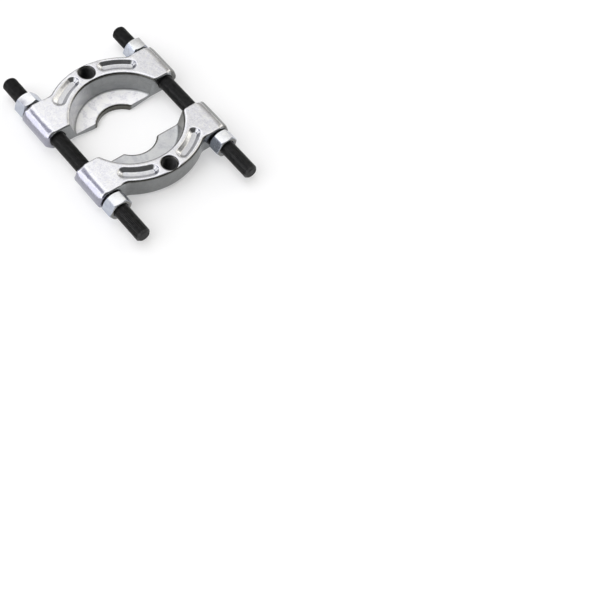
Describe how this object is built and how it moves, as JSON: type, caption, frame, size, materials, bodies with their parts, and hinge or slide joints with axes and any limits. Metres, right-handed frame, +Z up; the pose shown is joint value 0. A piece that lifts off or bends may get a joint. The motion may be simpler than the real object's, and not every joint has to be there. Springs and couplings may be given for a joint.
{
  "type": "bearing separator",
  "caption": "Bearing separator with facing half-round forged jaws that slide on threaded studs and are drawn together by hex nuts, with tapped puller holes.",
  "frame": {"origin": "on the ground, in the middle of the studs' bounding box", "axes": "+Y along the studs, from the front jaw to the rear jaw; +X from the left stud to the right stud; +Z up, recessed faces upwards"},
  "size_m": [0.1712, 0.2382, 0.0294],
  "materials": {
    "zinc_plated_forging": "bright zinc plate on forged steel",
    "bright_zinc": "bright zinc plate",
    "black_oxide": "black oxide"
  },
  "bodies": {
    "studs": {"stud_left": "black_oxide", "stud_right": "black_oxide"},
    "jaw_front": {"jaw_front": "zinc_plated_forging"},
    "jaw_rear": {"jaw_rear": "zinc_plated_forging"},
    "nut_front_left": {"nut_front_left": "bright_zinc"},
    "nut_front_right": {"nut_front_right": "bright_zinc"},
    "nut_rear_left": {"nut_rear_left": "bright_zinc"},
    "nut_rear_right": {"nut_rear_right": "bright_zinc"}
  },
  "joints": [
    {"name": "jaw_front_slide", "type": "slide", "parent": "studs", "child": "jaw_front", "axis": [0, 1, 0], "range_m": [-0.035, 0.0236]},
    {"name": "nut_front_left_spin", "type": "hinge", "parent": "jaw_front", "child": "nut_front_left", "pos_m": [-0.07, -0.0704, 0.0156], "axis": [0, 1, 0], "range_deg": [-8401, 5665]},
    {"name": "nut_front_right_spin", "type": "hinge", "parent": "jaw_front", "child": "nut_front_right", "pos_m": [0.07, -0.0704, 0.0156], "axis": [0, 1, 0], "range_deg": [-8401, 5665]},
    {"name": "jaw_rear_slide", "type": "slide", "parent": "studs", "child": "jaw_rear", "axis": [0, -1, 0], "range_m": [-0.025, 0.0236]},
    {"name": "nut_rear_left_spin", "type": "hinge", "parent": "jaw_rear", "child": "nut_rear_left", "pos_m": [-0.07, 0.081, 0.0156], "axis": [0, -1, 0], "range_deg": [-6001, 5665]},
    {"name": "nut_rear_right_spin", "type": "hinge", "parent": "jaw_rear", "child": "nut_rear_right", "pos_m": [0.07, 0.081, 0.0156], "axis": [0, -1, 0], "range_deg": [-6001, 5665]}
  ],
  "couplings": [
    {"joint": "nut_front_left_spin", "follows": "jaw_front_slide", "rad_per_m": 4188.8},
    {"joint": "nut_front_right_spin", "follows": "jaw_front_slide", "rad_per_m": 4188.8},
    {"joint": "nut_rear_left_spin", "follows": "jaw_rear_slide", "rad_per_m": 4188.8},
    {"joint": "nut_rear_right_spin", "follows": "jaw_rear_slide", "rad_per_m": 4188.8}
  ]
}
